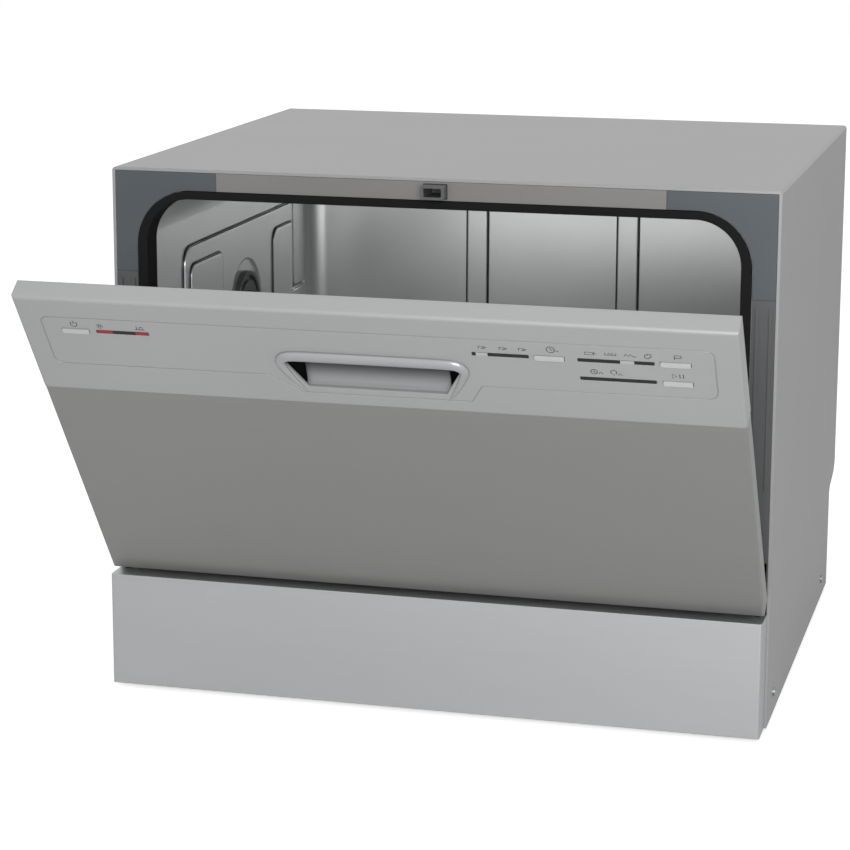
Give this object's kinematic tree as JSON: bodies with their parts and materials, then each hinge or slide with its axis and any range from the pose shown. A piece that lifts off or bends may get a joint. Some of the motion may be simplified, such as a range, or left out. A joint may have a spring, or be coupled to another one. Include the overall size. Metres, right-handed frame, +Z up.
{
  "type": "countertop dishwasher",
  "caption": "Countertop dishwasher with a drop-down front door, a control strip with recessed handle, a steel tub with wire dish rack and a lower spray arm.",
  "frame": {"origin": "centre of the bounding box on the standing plane, with the door partly open as in the picture", "axes": "+X to the right seen from the front, +Y towards the back, +Z up"},
  "size_m": [0.5532, 0.6854, 0.438],
  "materials": {
    "silver_paint": "satin",
    "silver_plastic": "satin",
    "bright_plastic": "gloss",
    "grey_panel": "satin",
    "brushed_panel": "brushed",
    "rear_steel": "matt",
    "stainless": "polished",
    "steel": "plain",
    "slate_plastic": "satin",
    "warm_plastic": "satin",
    "black_plastic": "matt",
    "grey_plastic": "satin",
    "white_plastic": "satin",
    "blue_plastic": "satin",
    "smoked_window": "gloss",
    "board": "matt",
    "rubber": "matt",
    "coated_wire": "satin"
  },
  "bodies": {
    "cabinet": {"outer_casing": "silver_paint", "rear_panel": "rear_steel", "base_tray": "black_plastic", "base_panel": "brushed_panel", "levelling_feet": "black_plastic", "front_sill": "slate_plastic", "tub_shell": "stainless", "corner_plates": "slate_plastic", "top_trim": "warm_plastic", "side_stiles": "grey_plastic", "tub_gasket": "rubber", "sill_seal": "rubber", "latch_socket": "grey_plastic", "breather_cap": "grey_plastic", "rack_rails": "stainless", "sump": "black_plastic", "flat_filter": "stainless", "water_softener": "white_plastic", "circulation_pump": "black_plastic", "flow_heater": "steel", "drain_pump": "black_plastic", "inlet_valve": "white_plastic", "drain_elbow": "black_plastic", "cord_gland": "black_plastic", "inner_hoses": "rubber", "float_switch": "black_plastic", "hinge_brackets": "steel", "door_springs": "steel", "casing_screws": "steel"},
    "door": {"door_panel": "grey_panel", "control_panel": "silver_plastic", "handle_bezel": "bright_plastic", "handle_cup": "black_plastic", "door_lock": "black_plastic", "inner_door": "stainless", "detergent_dispenser": "grey_plastic", "light_windows": "smoked_window", "control_board": "board", "hinge_arms": "steel"},
    "dish_rack": {"dish_rack": "coated_wire"},
    "handle_lever": {"handle_lever": "silver_plastic"},
    "latch_hook": {"latch_hook": "steel"},
    "dispenser_lid": {"dispenser_lid": "grey_plastic"},
    "rinse_cap": {"rinse_cap": "blue_plastic"},
    "power_button": {"power_button": "bright_plastic"},
    "delay_button": {"delay_button": "bright_plastic"},
    "program_button": {"program_button": "bright_plastic"},
    "start_button": {"start_button": "bright_plastic"},
    "wheel_front_left": {"wheel_front_left": "white_plastic"},
    "wheel_front_right": {"wheel_front_right": "white_plastic"},
    "wheel_rear_left": {"wheel_rear_left": "white_plastic"},
    "wheel_rear_right": {"wheel_rear_right": "white_plastic"},
    "folding_tines": {"folding_tines": "coated_wire"},
    "cup_shelf": {"cup_shelf": "coated_wire"},
    "cutlery_basket": {"cutlery_basket": "grey_plastic"},
    "spray_arm": {"spray_arm": "grey_plastic"},
    "filter_insert": {"filter_insert": "grey_plastic"},
    "coarse_filter": {"coarse_filter": "grey_plastic"},
    "salt_cap": {"salt_cap": "white_plastic"},
    "flood_float": {"flood_float": "white_plastic"}
  },
  "joints": [
    {"name": "door_hinge", "type": "hinge", "parent": "cabinet", "child": "door", "pos_m": [0, -0.145, 0.119], "axis": [1, 0, 0], "range_deg": [-36.3, 53.7]},
    {"name": "handle_pull", "type": "hinge", "parent": "door", "child": "handle_lever", "pos_m": [-0.002, -0.28901, 0.29984], "axis": [1, 0, 0], "range_deg": [-6, 0], "stiffness_Nm_per_rad": 2, "springref_deg": 2.86},
    {"name": "latch_pivot", "type": "hinge", "parent": "door", "child": "latch_hook", "pos_m": [-0.001, -0.31595, 0.34581], "axis": [1, 0, 0], "range_deg": [0, 4.8]},
    {"name": "power_press", "type": "slide", "parent": "door", "child": "power_button", "axis": [0, 0.8059, 0.592], "range_m": [0, 0.0015], "stiffness_N_per_m": 600},
    {"name": "delay_press", "type": "slide", "parent": "door", "child": "delay_button", "axis": [0, 0.8059, 0.592], "range_m": [0, 0.0015], "stiffness_N_per_m": 600},
    {"name": "program_press", "type": "slide", "parent": "door", "child": "program_button", "axis": [0, 0.8059, 0.592], "range_m": [0, 0.0015], "stiffness_N_per_m": 600},
    {"name": "start_press", "type": "slide", "parent": "door", "child": "start_button", "axis": [0, 0.8059, 0.592], "range_m": [0, 0.0015], "stiffness_N_per_m": 600},
    {"name": "dispenser_flap", "type": "hinge", "parent": "door", "child": "dispenser_lid", "pos_m": [-0.034, -0.16798, 0.16987], "axis": [-1, 0, 0], "range_deg": [0, 95]},
    {"name": "rinse_cap_turn", "type": "hinge", "parent": "door", "child": "rinse_cap", "pos_m": [0.034, -0.18996, 0.20385], "axis": [0, 0.8059, 0.592], "range_deg": [0, 90]},
    {"name": "rack_slide", "type": "slide", "parent": "cabinet", "child": "dish_rack", "axis": [0, 1, 0], "range_m": [-0.032, 0]},
    {"name": "wheel_front_left_roll", "type": "hinge", "parent": "dish_rack", "child": "wheel_front_left", "pos_m": [-0.235, -0.06, 0.15185], "axis": [-1, 0, 0], "range_deg": [-170, 10]},
    {"name": "wheel_front_right_roll", "type": "hinge", "parent": "dish_rack", "child": "wheel_front_right", "pos_m": [0.235, -0.06, 0.15185], "axis": [-1, 0, 0], "range_deg": [-170, 10]},
    {"name": "wheel_rear_left_roll", "type": "hinge", "parent": "dish_rack", "child": "wheel_rear_left", "pos_m": [-0.235, 0.242, 0.15185], "axis": [-1, 0, 0], "range_deg": [-170, 10]},
    {"name": "wheel_rear_right_roll", "type": "hinge", "parent": "dish_rack", "child": "wheel_rear_right", "pos_m": [0.235, 0.242, 0.15185], "axis": [-1, 0, 0], "range_deg": [-170, 10]},
    {"name": "tine_fold", "type": "hinge", "parent": "dish_rack", "child": "folding_tines", "pos_m": [0, 0.114, 0.1662], "axis": [-1, 0, 0], "range_deg": [0, 84]},
    {"name": "shelf_fold", "type": "hinge", "parent": "dish_rack", "child": "cup_shelf", "pos_m": [-0.224, 0.094, 0.238], "axis": [0, -1, 0], "range_deg": [0, 85]},
    {"name": "basket_lift", "type": "slide", "parent": "dish_rack", "child": "cutlery_basket", "axis": [0, 0, 1], "range_m": [0, 0.1]},
    {"name": "spray_arm_spin", "type": "hinge", "parent": "cabinet", "child": "spray_arm", "pos_m": [0, 0.094, 0.14], "axis": [0, 0, 1], "continuous": true},
    {"name": "filter_turn", "type": "hinge", "parent": "cabinet", "child": "filter_insert", "pos_m": [-0.062, 0.07, 0.09], "axis": [0, 0, 1], "range_deg": [0, 60]},
    {"name": "coarse_filter_lift", "type": "slide", "parent": "cabinet", "child": "coarse_filter", "axis": [0, 0, 1], "range_m": [0, 0.03]},
    {"name": "salt_cap_turn", "type": "hinge", "parent": "cabinet", "child": "salt_cap", "pos_m": [-0.16, 0, 0.12], "axis": [0, 0, 1], "range_deg": [0, 180]},
    {"name": "float_rise", "type": "slide", "parent": "cabinet", "child": "flood_float", "axis": [0, 0, 1], "range_m": [0, 0.006]}
  ],
  "couplings": [
    {"joint": "latch_pivot", "follows": "handle_pull", "ratio": -0.8},
    {"joint": "wheel_front_left_roll", "follows": "rack_slide", "rad_per_m": 87.336},
    {"joint": "wheel_front_right_roll", "follows": "rack_slide", "rad_per_m": 87.336},
    {"joint": "wheel_rear_left_roll", "follows": "rack_slide", "rad_per_m": 87.336},
    {"joint": "wheel_rear_right_roll", "follows": "rack_slide", "rad_per_m": 87.336}
  ]
}
